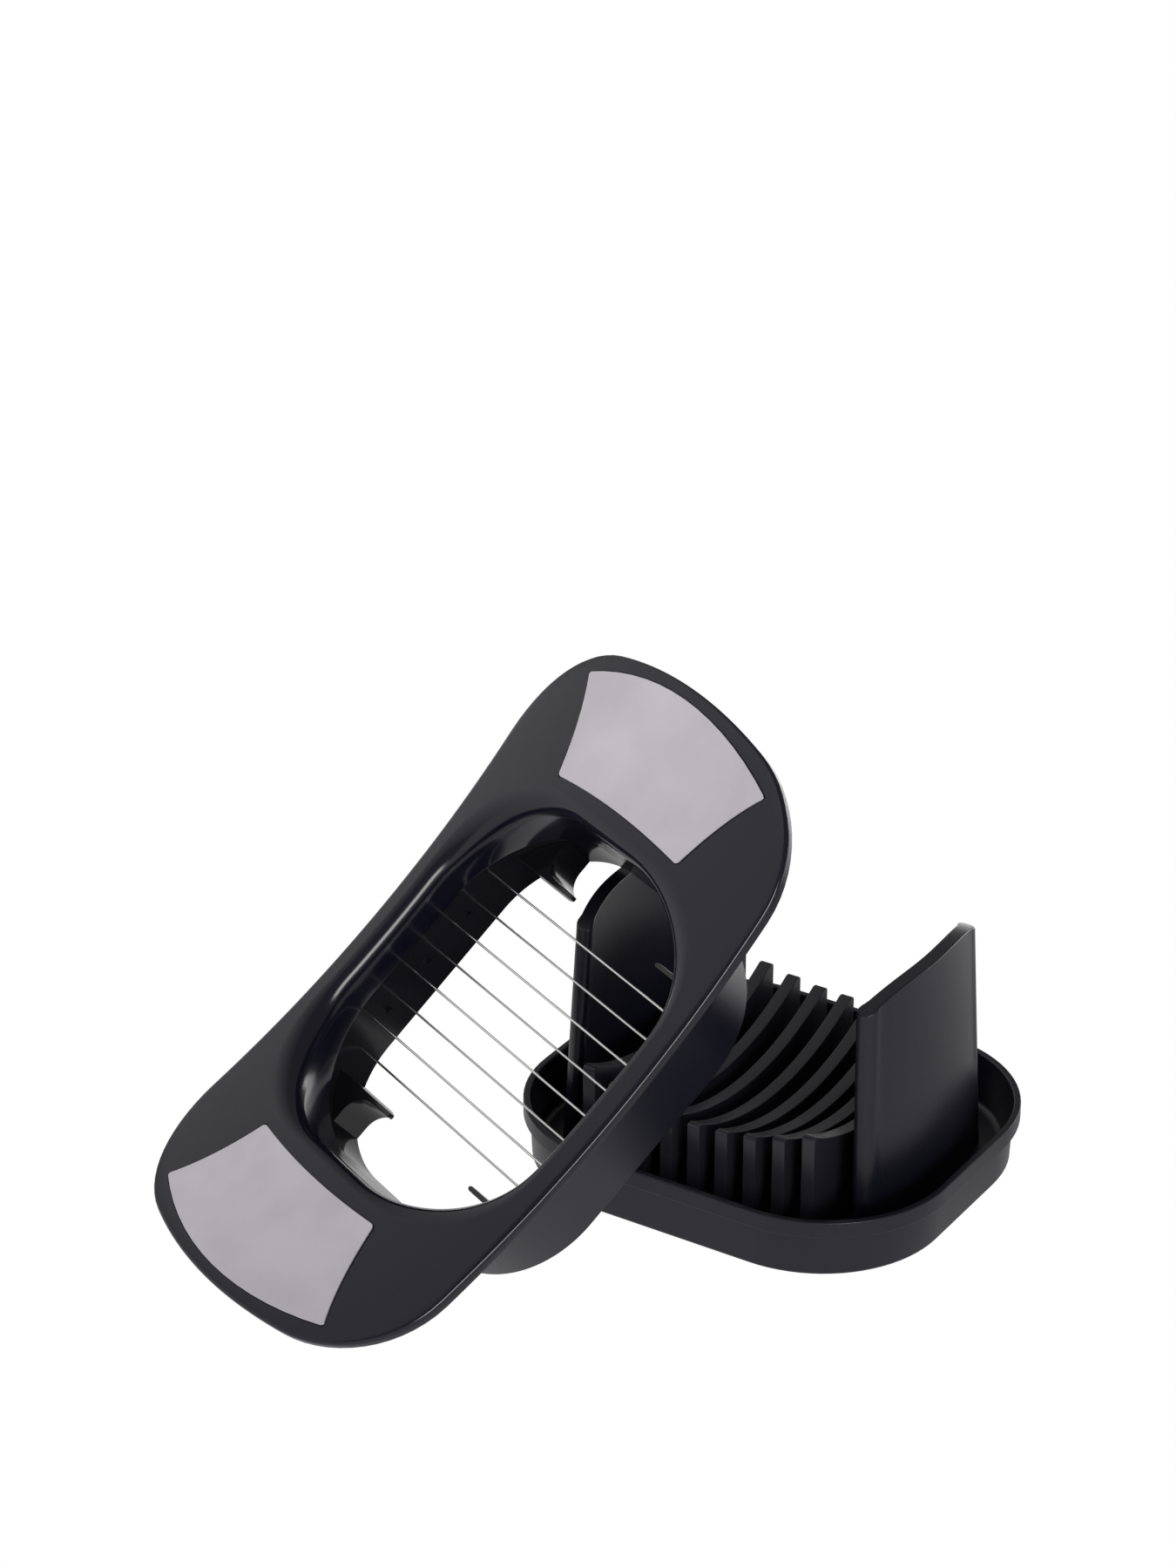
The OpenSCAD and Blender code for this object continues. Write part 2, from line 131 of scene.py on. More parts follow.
def makeFloor():
    bpy.ops.mesh.primitive_plane_add(size=studio["floorSize"], location=(0, 0, studio["floorLevel"]))
    floor = bpy.context.object
    floor.name = "paleFloor"
    paint = bpy.data.materials.new("paleFloorPaint")
    paint.use_nodes = True
    tree = paint.node_tree
    matt = tree.nodes.new("ShaderNodeEmission")
    place = tree.nodes.new("ShaderNodeTexCoord")
    apart = tree.nodes.new("ShaderNodeSeparateXYZ")
    along = tree.nodes.new("ShaderNodeMapRange")
    along.inputs["From Min"].default_value = studio["sweepFront"]
    along.inputs["From Max"].default_value = studio["sweepBack"]
    sweep = tree.nodes.new("ShaderNodeValToRGB")
    stops = sweep.color_ramp.elements
    while len(stops) < len(studio["sweep"]):
        stops.new(0.5)
    for stop, (share, level) in zip(stops, studio["sweep"]):
        stop.position = share
        stop.color = (level, level, level, 1)
    matt.inputs["Strength"].default_value = studio["sweepTop"]
    tree.links.new(place.outputs["Object"], apart.inputs[0])
    tree.links.new(apart.outputs["Y"], along.inputs["Value"])
    tree.links.new(along.outputs["Result"], sweep.inputs["Fac"])
    tree.links.new(sweep.outputs["Color"], matt.inputs["Color"])
    glow = tree.nodes.new("ShaderNodeEmission")
    glow.inputs["Strength"].default_value = 1.0
    path = tree.nodes.new("ShaderNodeLightPath")
    mix = tree.nodes.new("ShaderNodeMixShader")
    out = tree.nodes["Material Output"]
    tree.links.new(path.outputs["Is Camera Ray"], mix.inputs[0])
    tree.links.new(matt.outputs[0], mix.inputs[1])
    tree.links.new(glow.outputs[0], mix.inputs[2])
    tree.links.new(mix.outputs[0], out.inputs["Surface"])
    floor.data.materials.append(paint)


makeCamera()
makeLamps()
makeSky()
makeFloor()
bpy.context.scene.view_settings.view_transform = "Standard"
print("camera, lamps and floor ready")


# finishes
grain = {
    "fineScale": 2600,
    "fineDetail": 3,
    "cloudScale": 55,
    "cloudDetail": 4,
    # how much the colour is painted lighter on the grain's peaks and darker in its hollows
    "shadeSwing": 0.15,
    "depth": 0.04 * mm,
}


def makeMouldGrainAndShade():
    # fine moulded texture: tone, gloss and bump vary a little over the plastic; the tone is painted
    # shade, lighter on the grain's peaks and darker in its hollows
    group = bpy.data.node_groups.new("mouldGrainAndShade", "ShaderNodeTree")
    takes = {"Colour": "Color", "Roughness": "Float", "Cloudiness": "Float", "Bump": "Float"}
    gives = {"Colour": "Color", "Roughness": "Float", "Normal": "Vector"}
    for way, sockets in (("INPUT", takes), ("OUTPUT", gives)):
        for name, kind in sockets.items():
            group.interface.new_socket(name, in_out=way, socket_type="NodeSocket" + kind)
    nodes, links = group.nodes, group.links
    given = nodes.new("NodeGroupInput")
    result = nodes.new("NodeGroupOutput")
    place = nodes.new("ShaderNodeTexCoord")
    fine = nodes.new("ShaderNodeTexNoise")
    fine.inputs["Scale"].default_value = grain["fineScale"]
    fine.inputs["Detail"].default_value = grain["fineDetail"]
    cloud = nodes.new("ShaderNodeTexNoise")
    cloud.inputs["Scale"].default_value = grain["cloudScale"]
    cloud.inputs["Detail"].default_value = grain["cloudDetail"]
    for noise in (fine, cloud):
        links.new(place.outputs["Object"], noise.inputs["Vector"])
    # roughness = given + (cloud - 0.5) * cloudiness
    centred = nodes.new("ShaderNodeMath")
    centred.operation = "SUBTRACT"
    centred.inputs[1].default_value = 0.5
    links.new(cloud.outputs["Fac"], centred.inputs[0])
    swing = nodes.new("ShaderNodeMath")
    swing.operation = "MULTIPLY"
    links.new(centred.outputs[0], swing.inputs[0])
    links.new(given.outputs["Cloudiness"], swing.inputs[1])
    rough = nodes.new("ShaderNodeMath")
    rough.operation = "ADD"
    links.new(given.outputs["Roughness"], rough.inputs[0])
    links.new(swing.outputs[0], rough.inputs[1])
    # colour = given, speckled a little lighter on the grain's peaks and darker in its hollows:
    # painted shade of the grain
    lift = nodes.new("ShaderNodeMapRange")
    lift.inputs["To Min"].default_value = 1 - grain["shadeSwing"]
    lift.inputs["To Max"].default_value = 1 + grain["shadeSwing"]
    links.new(fine.outputs["Fac"], lift.inputs["Value"])
    shade = nodes.new("ShaderNodeVectorMath")
    shade.operation = "SCALE"
    links.new(given.outputs["Colour"], shade.inputs[0])
    links.new(lift.outputs["Result"], shade.inputs["Scale"])
    bump = nodes.new("ShaderNodeBump")
    bump.inputs["Distance"].default_value = grain["depth"]
    links.new(fine.outputs["Fac"], bump.inputs["Height"])
    links.new(given.outputs["Bump"], bump.inputs["Strength"])
    links.new(shade.outputs[0], result.inputs["Colour"])
    links.new(rough.outputs[0], result.inputs["Roughness"])
    links.new(bump.outputs["Normal"], result.inputs["Normal"])
    return group


mouldGrainAndShade = makeMouldGrainAndShade()


def plastic(name, colour, roughness, cloudiness, bump, polished=None):
    finish = bpy.data.materials.new(name)
    finish.use_nodes = True
    tree = finish.node_tree
    shader = tree.nodes["Principled BSDF"]
    moulded = tree.nodes.new("ShaderNodeGroup")
    moulded.node_tree = mouldGrainAndShade
    moulded.inputs["Colour"].default_value = (*colour, 1)
    moulded.inputs["Roughness"].default_value = roughness
    moulded.inputs["Cloudiness"].default_value = cloudiness
    moulded.inputs["Bump"].default_value = bump
    tree.links.new(moulded.outputs["Colour"], shader.inputs["Base Color"])
    tree.links.new(moulded.outputs["Normal"], shader.inputs["Normal"])
    if polished is None:
        tree.links.new(moulded.outputs["Roughness"], shader.inputs["Roughness"])
        return finish
    # smoother where the mesh's own polish attribute says so
    polish = tree.nodes.new("ShaderNodeAttribute")
    polish.attribute_name = "polish"
    gloss = tree.nodes.new("ShaderNodeMix")
    gloss.inputs["B"].default_value = polished
    tree.links.new(polish.outputs["Fac"], gloss.inputs["Factor"])
    tree.links.new(moulded.outputs["Roughness"], gloss.inputs["A"])
    tree.links.new(gloss.outputs["Result"], shader.inputs["Roughness"])
    flat = tree.nodes.new("ShaderNodeMath")
    flat.operation = "MULTIPLY_ADD"
    flat.inputs[1].default_value = -bump
    flat.inputs[2].default_value = bump
    tree.links.new(polish.outputs["Fac"], flat.inputs[0])
    tree.links.new(flat.outputs[0], moulded.inputs["Bump"])
    return finish


satin = {
    "streakScale": 900,
    "streakDetail": 4,
    "cloudScale": 60,
    "cloudDetail": 5,
    "cloudRange": (0.3, 0.7),  # where nearly all of the noise lies
    "sheenSwing": 0.05,
    "shadeSwing": 0.08,
    "depth": 0.02 * mm,
}


def steel(name, colour, roughness, streak, along):
    # satin steel: faint streaks along one direction, and a cloudy sheen
    finish = bpy.data.materials.new(name)
    finish.use_nodes = True
    tree = finish.node_tree
    shader = tree.nodes["Principled BSDF"]
    shader.inputs["Metallic"].default_value = 1.0
    place = tree.nodes.new("ShaderNodeTexCoord")
    turn = tree.nodes.new("ShaderNodeMapping")
    turn.inputs["Scale"].default_value = along
    streaks = tree.nodes.new("ShaderNodeTexNoise")
    streaks.inputs["Scale"].default_value = satin["streakScale"]
    streaks.inputs["Detail"].default_value = satin["streakDetail"]
    cloud = tree.nodes.new("ShaderNodeTexNoise")
    cloud.inputs["Scale"].default_value = satin["cloudScale"]
    cloud.inputs["Detail"].default_value = satin["cloudDetail"]
    tree.links.new(place.outputs["Object"], turn.inputs["Vector"])
    tree.links.new(turn.outputs["Vector"], streaks.inputs["Vector"])
    tree.links.new(place.outputs["Object"], cloud.inputs["Vector"])
    sheen = tree.nodes.new("ShaderNodeMapRange")
    sheen.inputs["To Min"].default_value = roughness - satin["sheenSwing"]
    sheen.inputs["To Max"].default_value = roughness + satin["sheenSwing"]
    tree.links.new(cloud.outputs["Fac"], sheen.inputs["Value"])
    tree.links.new(sheen.outputs["Result"], shader.inputs["Roughness"])
    tint = tree.nodes.new("ShaderNodeMapRange")
    tint.inputs["From Min"].default_value = satin["cloudRange"][0]
    tint.inputs["From Max"].default_value = satin["cloudRange"][1]
    tint.inputs["To Min"].default_value = 1 - satin["shadeSwing"]
    tint.inputs["To Max"].default_value = 1 + satin["shadeSwing"]
    tree.links.new(cloud.outputs["Fac"], tint.inputs["Value"])
    paint = tree.nodes.new("ShaderNodeVectorMath")
    paint.operation = "SCALE"
    paint.inputs[0].default_value = colour
    tree.links.new(tint.outputs["Result"], paint.inputs["Scale"])
    tree.links.new(paint.outputs[0], shader.inputs["Base Color"])
    bump = tree.nodes.new("ShaderNodeBump")
    bump.inputs["Strength"].default_value = streak
    bump.inputs["Distance"].default_value = satin["depth"]
    tree.links.new(streaks.outputs["Fac"], bump.inputs["Height"])
    tree.links.new(bump.outputs["Normal"], shader.inputs["Normal"])
    return finish


finishes = {
    "base_plastic": plastic("satinBlackBase", (0.0082, 0.0082, 0.0165), 0.34, 0.12, 0.55),
    # painted light: the slats' black is made lighter than the tray's, standing in for the light on
    # their tops and fronts
    "slat_plastic": plastic("blackSlats", (0.0240, 0.0235, 0.0330), 0.30, 0.08, 0.30),
    "press_plastic": plastic("satinBlackPress", (0.0080, 0.0076, 0.0170), 0.34, 0.08, 0.35, 0.16),
    "inner_plastic": plastic("glossBlackInner", (0.0125, 0.0122, 0.0155), 0.15, 0.06, 0.05),
    "plate_steel": steel("satinSteelPlate", (0.665, 0.635, 0.675), 0.33, 0.25, (1.0, 0.06, 1.0)),
    "wire_steel": steel("brightSteelWire", (0.86, 0.85, 0.84), 0.20, 0.05, (1.0, 1.0, 1.0)),
}
print("finishes made:", len(finishes))


# helpers for working by hand
def pickOnly(piece):
    if bpy.context.object and bpy.context.object.mode != "OBJECT":
        bpy.ops.object.mode_set(mode="OBJECT")
    bpy.ops.object.select_all(action="DESELECT")
    piece.select_set(True)
    bpy.context.view_layer.objects.active = piece


def edit(piece, select="DESELECT"):
    pickOnly(piece)
    bpy.ops.object.mode_set(mode="EDIT")
    bpy.ops.mesh.select_mode(type="VERT")
    bpy.ops.mesh.select_all(action=select)


def done():
    bpy.ops.object.mode_set(mode="OBJECT")


def pickPoints(piece, rule):
    # select the points for which rule(place) holds, and stay in edit mode
    edit(piece)
    bpy.ops.object.mode_set(mode="OBJECT")
    for point in piece.data.vertices:
        point.select = rule(point.co)
    bpy.ops.object.mode_set(mode="EDIT")


def shape(piece, rule):
    # move every point to rule(place)
    for point in piece.data.vertices:
        point.co = rule(point.co)
    piece.data.update()


def finishWith(piece, kind, **settings):
    pickOnly(piece)
    modifier = piece.modifiers.new(kind.lower(), kind)
    for name, value in settings.items():
        setattr(modifier, name, value)
    bpy.ops.object.modifier_apply(modifier=modifier.name)


def tidyFaces(piece, merge=0.01 * mm):
    edit(piece, "SELECT")
    bpy.ops.mesh.remove_doubles(threshold=merge)
    bpy.ops.mesh.normals_make_consistent(inside=False)
    done()


def softEdges(piece, width, steps=3, angle=30):
    finishWith(piece, "BEVEL", width=width, segments=steps, limit_method="ANGLE",
               angle_limit=math.radians(angle), harden_normals=False)
    pickOnly(piece)
    bpy.ops.object.shade_smooth_by_angle(angle=math.radians(angle + 5))
    finishWith(piece, "WEIGHTED_NORMAL", keep_sharp=True)


def handOver(piece, name, body, slot, *nodes):
    # fix the piece in the frame, give it its finish, and let it stand for its nodes
    pickOnly(piece)
    bpy.ops.object.transform_apply(location=True, rotation=True, scale=True)
    piece.name = name
    piece.data.name = name
    piece.data.materials.clear()
    piece.data.materials.append(finishes[slot])
    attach(piece, body)
    if nodes:
        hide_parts(*nodes)
    return piece


def copyOf(node, merge=0.01 * mm):
    # a merged copy of a frame node to work on
    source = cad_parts[node]
    piece = bpy.data.objects.new(node + "Copy", source.data.copy())
    bpy.context.scene.collection.objects.link(piece)
    piece.data.materials.clear()
    if piece.data.attributes.get("custom_normal"):
        piece.data.attributes.remove(piece.data.attributes["custom_normal"])
    edit(piece, "SELECT")
    bpy.ops.mesh.remove_doubles(threshold=merge)
    done()
    return piece


def roundedSheet(halfX, halfY, corner, steps=20):
    # a rounded rectangle on the ground, left in edit mode
    bpy.ops.mesh.primitive_plane_add(size=2, location=(0, 0, 0))
    piece = bpy.context.object
    edit(piece, "SELECT")
    bpy.ops.transform.resize(value=(halfX, halfY, 1))
    bpy.ops.mesh.bevel(offset=corner, offset_type="OFFSET", segments=steps, affect="VERTICES")
    return piece


def block(size, middle):
    # a box of a size about a point, left in edit mode
    bpy.ops.mesh.primitive_cube_add(size=1, location=(0, 0, 0))
    piece = bpy.context.object
    edit(piece, "SELECT")
    bpy.ops.transform.resize(value=tuple(size))
    bpy.ops.transform.translate(value=tuple(middle))
    return piece


def cutAcross(places):
    # cut the piece in edit mode at each of these places along y
    for place in places:
        bpy.ops.mesh.select_all(action="SELECT")
        bpy.ops.mesh.bisect(plane_co=(0, place, 0), plane_no=(0, 1, 0))


# base: the tray, two towers and nine slats
tray = {
    "corner": 27.6 * mm,  # at the foot
    "lip": 4.0 * mm,
    "lipWall": 1.45 * mm,
    "lipSide": 0.8 * mm,
    "lipEnd": 1.5 * mm,
    "lipStep": 0.25 * mm,
    "floor": 2.4 * mm,
    "wall": 1.25 * mm,
    "ledge": 0.8 * mm,  # how far the lip's inner face runs on below the lip
    "draft": 0.2 * mm,
    "foot": 0.9 * mm,
    "footFlare": 0.55 * mm,
    "fillet": 1.6 * mm,
    "filletSteps": 4,
    "edge": 0.3 * mm,
}


def makeTray():
    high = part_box("base_tray")[1]
    top, half = high.z, high.xy
    both = Vector((1, 1))
    wall = half - Vector((tray["lipEnd"], tray["lipSide"]))
    size = wall - both * tray["foot"]
    piece = roundedSheet(size.x, size.y, tray["corner"])

    def rise(height, to):
        nonlocal size
        bpy.ops.mesh.extrude_region_move(TRANSFORM_OT_translate={"value": (0, 0, height)})
        bpy.ops.transform.resize(value=(to.x / size.x, to.y / size.y, 1),
                                 center_override=(0, 0, 0))
        size = to

    # outside: round the foot, up the wall and out to the lip
    rise(tray["foot"], size + both * tray["footFlare"])
    rise(top - tray["lip"] - tray["foot"], wall)
    rise(tray["lipStep"], half)
    rise(tray["lip"] - tray["lipStep"], half)
    # inside: over the lip, down the wall and round on to the floor
    bpy.ops.mesh.inset(thickness=tray["lipWall"])
    size = half - both * tray["lipWall"]
    inner = wall - both * tray["wall"]
    below = tray["lip"] + tray["ledge"]
    rise(-below, inner)
    inner = inner - both * tray["draft"]
    rise(-(top - below - tray["floor"] - tray["fillet"]), inner)
    turns = [math.pi / 2 * k / tray["filletSteps"] for k in range(tray["filletSteps"] + 1)]
    for before, turn in zip(turns, turns[1:]):
        drop = tray["fillet"] * (math.sin(turn) - math.sin(before))
        rise(-drop, inner - both * tray["fillet"] * (1 - math.cos(turn)))
    done()
    tidyFaces(piece)
    softEdges(piece, tray["edge"], angle=35)
    return handOver(piece, "trayShell", "base", "base_plastic", "base_tray")


tower = {
    "reach": 33.2 * mm,
    "lean": 1.9 * mm,
    "span": 41.0 * mm,
    "taper": 5.2 * mm,
    "radius": 80.0 * mm,
    "wall": 3.2 * mm,
    "bead": 2.0 * mm,
    "top": 53.4 * mm,
    "crown": 3.4 * mm,
    "fullness": 3.0,
    "columns": 28,
    "beadCuts": (0.15, 0.45, 0.8, 1.2, 1.6),
    "thinnest": 0.15 * mm,
    "edge": 1.3 * mm,
    "edgeSteps": 5,
}


def makeTower(side, node):
    # a plate cut into columns, thickened and rounded at its two edges, then curved in plan,
    # spread at its foot and domed along its top
    floor = tray["floor"]
    halfTop = tower["span"] / 2 + tower["bead"]
    halfFoot = halfTop + tower["taper"] / 2
    piece = block((tower["wall"], 2 * halfTop, tower["top"] - floor),
                  (0, 0, (tower["top"] + floor) / 2))
    # cuts for the curve, closer at the beads
    bead, columns = tower["bead"], tower["columns"]
    cuts = [(2 * k / columns - 1) * (halfTop - 2 * bead) for k in range(columns + 1)]
    cuts += [end * (halfTop - bead * part) for end in (-1, 1) for part in tower["beadCuts"]]
    cutAcross(cuts)
    done()

    def thickness(y):
        # half thickness: the wall, swelling to a bead at each edge
        d = halfTop - abs(y)
        if d < bead:
            return math.sqrt(max(0.0, bead ** 2 - (bead - d) ** 2))
        if d < 2 * bead:
            u = (d - bead) / bead
            return bead + (tower["wall"] / 2 - bead) * u * u * (3 - 2 * u)
        return tower["wall"] / 2

    def sag(y):
        return tower["radius"] - math.sqrt(tower["radius"] ** 2 - y * y)

    def place(co):
        share = (tower["top"] - co.z) / (tower["top"] - floor)
        x = max(thickness(co.y), tower["thinnest"]) * (1 if co.x > 0 else -1)
        y = co.y * (halfTop + (halfFoot - halfTop) * share) / halfTop
        edge = tower["span"] / 2 + tower["taper"] / 2 * share
        middle = tower["reach"] + tower["lean"] * share + sag(edge) - sag(y)
        z = co.z
        if z > tower["top"] - near:
            z += tower["crown"] * (1 - (abs(co.y) / halfTop) ** tower["fullness"])
        return Vector((side * (middle + x), y, z))

    shape(piece, place)
    tidyFaces(piece)
    softEdges(piece, tower["edge"], steps=tower["edgeSteps"], angle=50)
    return handOver(piece, node.replace("_tower", "Tower"), "base", "base_plastic", node)


slat = {
    "tip": 1.0 * mm,
    "rim": 0.3 * mm,
    "hollow": 7.5 * mm,
    "cuts": 36,
    "tipRound": 0.7 * mm,
    "tipSteps": 4,
    "edge": 0.28 * mm,
}


def makeSlat(number):
    node = "slat_%d" % number
    low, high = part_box(node)
    half = high.y
    rim = half - slat["tip"] - slat["rim"]
    radius = (rim ** 2 + slat["hollow"] ** 2) / (2 * slat["hollow"])
    piece = block(high - low, (high + low) / 2)
    cutAcross([rim * (2 * k / slat["cuts"] - 1) for k in range(slat["cuts"] + 1)])
    done()

    def place(co):
        if co.z > high.z - near and abs(co.y) <= rim + near:
            dip = high.z - slat["hollow"] + radius - math.sqrt(radius ** 2 - co.y ** 2)
            return Vector((co.x, co.y, dip))
        return co

    shape(piece, place)
    # round the two tips first, then every edge a little
    pickPoints(piece, lambda co: abs(co.y) > half - near and co.z > high.z - near)
    bpy.ops.mesh.bevel(offset=slat["tipRound"], segments=slat["tipSteps"], affect="EDGES")
    done()
    tidyFaces(piece)
    softEdges(piece, slat["edge"], steps=2)
    return handOver(piece, "slat%d" % number, "base", "slat_plastic", node)


makeTray()
makeTower(-1, "left_tower")
makeTower(1, "right_tower")
for number in range(1, 10):
    makeSlat(number)
print("base made")


# press: its place in the leaning pose, and the bow and crown of its top
press = {
    "place": Vector((-38.2, -50.1, 46.05)) * mm,
    "tilt": 4.2,
    "slope": 41.3,
    "turn": 63.9,
    "bow": 296 * mm,
    "crown": 4.9 * mm,
    "sideDrop": 1.0 * mm,
    "halfWidth": 44.5 * mm,
}

leaning = Euler([math.radians(a) for a in (press["tilt"], -press["slope"], press["turn"])])
toPress = Matrix.Translation(press["place"]) @ leaning.to_matrix().to_4x4()
halfTurn = Matrix.Rotation(math.pi, 4, "Z")


def topHeight(x, y):
    # height of the bowed and crowned top in the press's own frame
    bow = press["bow"] - math.sqrt(press["bow"] ** 2 - x * x)
    return bow - press["sideDrop"] + press["crown"] * (1 - (y / press["halfWidth"]) ** 2)


plate = {
    "outerEnd": 73.4 * mm,
    "outerRadius": 78 * mm,
    "outerHalf": 30.7 * mm,
    "innerEnd": 47.4 * mm,
    "innerRadius": 190 * mm,
    "innerHalf": 21 * mm,
    "waist": 0.7 * mm,
    "corner": 0.9 * mm,
    "cornerSteps": 5,
    "thick": 0.5 * mm,
    "proud": 0.22 * mm,
    "gap": 0.22 * mm,
    "seatTop": 3 * mm,  # how far the seat's cutter stands out of the press
    "cellsAlong": 10,
    "cellsAcross": 14,
    "edge": 0.15 * mm,
}


def makePlateBlank(grow, top):
    # a four-sided blank between two arcs, laid on the bowed top up to a height
    bpy.ops.mesh.primitive_grid_add(x_subdivisions=plate["cellsAlong"],
                                    y_subdivisions=plate["cellsAcross"], size=2)
    piece = bpy.context.object
    outer = plate["outerHalf"] + grow
    inner = plate["innerHalf"] + grow

    def arc(end, radius, y):
        return end - radius + math.sqrt(radius ** 2 - y * y)

    def place(co):
        share = (co.x + 1) / 2
        y = co.y * (inner + (outer - inner) * share - plate["waist"] * 4 * share * (1 - share))
        xIn = arc(plate["innerEnd"] - grow, plate["innerRadius"], y)
        xOut = arc(plate["outerEnd"] + grow, plate["outerRadius"], y)
        return Vector((xIn + (xOut - xIn) * share, y, 0))

    shape(piece, place)
    corners = [place(Vector((x, y))) for x in (-1, 1) for y in (-1, 1)]
    pickPoints(piece, lambda co: any((co - corner).length < near for corner in corners))
    bpy.ops.mesh.bevel(offset=plate["corner"], segments=plate["cornerSteps"], affect="VERTICES")
    done()
    bottom = plate["proud"] - plate["thick"]
    for point in piece.data.vertices:
        point.co.z = topHeight(point.co.x, point.co.y) + bottom
    edit(piece, "SELECT")
    bpy.ops.mesh.extrude_region_move(TRANSFORM_OT_translate={"value": (0, 0, top - bottom)})
    done()
    tidyFaces(piece)
    return piece


def makeGripPlates():
    # the plates at the two ends are alike, so one is modelled and copied
    upper = makePlateBlank(0, plate["proud"])
    softEdges(upper, plate["edge"], angle=40)
    lower = upper.copy()
    lower.data = upper.data.copy()
    bpy.context.scene.collection.objects.link(lower)
    upper.matrix_world = toPress
    lower.matrix_world = toPress @ halfTurn
    handOver(upper, "upperPlate", "press", "plate_steel", "upper_grip_plate")
    handOver(lower, "lowerPlate", "press", "plate_steel", "lower_grip_plate")


shell = {
    "halfLength": 76.12 * mm,
    "endRadius": 115 * mm,
    "corner": 25.7 * mm,
    "openingX": 41.3 * mm,
    "openingY": 37.1 * mm,
    "openingCorner": 22.5 * mm,
    "rollCorner": 28 * mm,
    "skirt": 22.3 * mm,
    "ringWall": 0.9 * mm,
    "wall": 1.8 * mm,
    "ringTop": 9 * mm,
    "funnel": 3.1 * mm,
    "funnelDepth": 5 * mm,
    "sheet": 2.4 * mm,
    "round": 0.95 * mm,
    "edge": 0.22 * mm,
    "edgeAngle": 50,  # degrees: sharper edges are rounded
    "smoothAngle": 34,  # degrees: blunter edges are shaded smooth
    "polishIn": 1.0 * mm,  # polished from here inward at any depth,
    "polishRoll": 2.9 * mm,  # from here inward down to the sheet's underside,
    "polishRim": (0.03 * mm, 1.5 * mm),  # and between these depths on the outer rim
    "sideSteps": 14,
    "cornerSteps": 36,
    "endSteps": 12,
    "rollSteps": 14,
    "topSteps": 14,
    "roundSteps": 5,
    "underSteps": 5,
}


def stationsRound():
    # points round the opening, each with its direction outward
    cx = shell["openingX"] - shell["openingCorner"]
    cy = shell["openingY"] - shell["openingCorner"]
    ends, corners, sides = shell["endSteps"], shell["cornerSteps"], shell["sideSteps"]
    quarter = [(Vector((shell["openingX"], cy * k / ends)), Vector((1, 0))) for k in range(ends)]
    for k in range(corners + 1):
        out = Vector((math.cos(math.pi / 2 * k / corners), math.sin(math.pi / 2 * k / corners)))
        quarter.append((Vector((cx, cy)) + out * shell["openingCorner"], out))
    quarter += [(Vector((cx * (1 - k / sides), shell["openingY"])), Vector((0, 1)))
                for k in range(1, sides + 1)]

    def flip(pair, x, y):
        return tuple(Vector((part.x * x, part.y * y)) for part in pair)

    return (quarter + [flip(q, -1, 1) for q in quarter[-2::-1]]
            + [flip(q, -1, -1) for q in quarter[1:]] + [flip(q, 1, -1) for q in quarter[-2:0:-1]])


def toCircle(point, way, centre, radius):
    # distance from a point to a circle, along a direction
    away = point - centre
    along = away.dot(way)
    return math.sqrt(along * along - away.dot(away) + radius ** 2) - along


def toEdge(point, way):
    # distance from a station to the outer edge: a straight side, a corner, or the end's arc
    point, way = (Vector((abs(v.x), abs(v.y))) for v in (point, way))
    end = Vector((shell["halfLength"] - shell["endRadius"], 0))
    cy = press["halfWidth"] - shell["corner"]
    corner = end + Vector((math.sqrt((shell["endRadius"] - shell["corner"]) ** 2 - cy ** 2), cy))
    # level with the side it is never met, and any long way will do
    side = (press["halfWidth"] - point.y) / way.y if way.y > 0.001 else 1.0
    if point.x + side * way.x <= corner.x:
        return side
    reach = toCircle(point, way, corner, shell["corner"])
    out = point + way * reach - corner
    if math.atan2(out.y, out.x) >= math.atan2(corner.y, corner.x - end.x):
        return reach
    return toCircle(point, way, end, shell["endRadius"])


def rollIn(point, way):
    # how far the rolled edge stands in past a corner of the opening
    point, way = (Vector((abs(v.x), abs(v.y))) for v in (point, way))
    centre = Vector((shell["openingX"], shell["openingY"])) - Vector((1, 1)) * shell["rollCorner"]
    if min(point.x - centre.x, point.y - centre.y) <= 0:
        return 0.0
    return -toCircle(point, way, centre, shell["rollCorner"])


def pressSection(point, way):
    # from the skirt's foot up inside, over the roll and the top, round the edge and back beneath
    def lift(d):
        return topHeight(*(point + way * d))

    reach = toEdge(point, way)
    start = -rollIn(point, way)
    wall, funnel, edge = shell["wall"], shell["funnel"], shell["round"]
    path = [(wall, -shell["skirt"]), (shell["ringWall"], -shell["skirt"]),
            (shell["ringWall"], -shell["ringTop"]), (start, -shell["ringTop"])]
    for k in range(shell["rollSteps"] + 1):
        t = math.pi / 2 * k / shell["rollSteps"]
        path.append((start + (funnel - start) * (1 - math.cos(t)),
                     lift(funnel) - shell["funnelDepth"] * (1 - math.sin(t))))
    for k in range(1, shell["topSteps"] + 1):
        d = funnel + (reach - edge - funnel) * k / shell["topSteps"]
        path.append((d, lift(d)))
    for k in range(1, shell["roundSteps"] + 1):
        t = math.pi / 2 * k / shell["roundSteps"]
        path.append((reach - edge * (1 - math.sin(t)), lift(reach) - edge * (1 - math.cos(t))))
    for k in range(shell["underSteps"] + 1):
        d = reach + (wall - reach) * k / shell["underSteps"]
        path.append((d, lift(d) - shell["sheet"]))
    return [Vector((*(point + way * d), z)) for d, z in path]


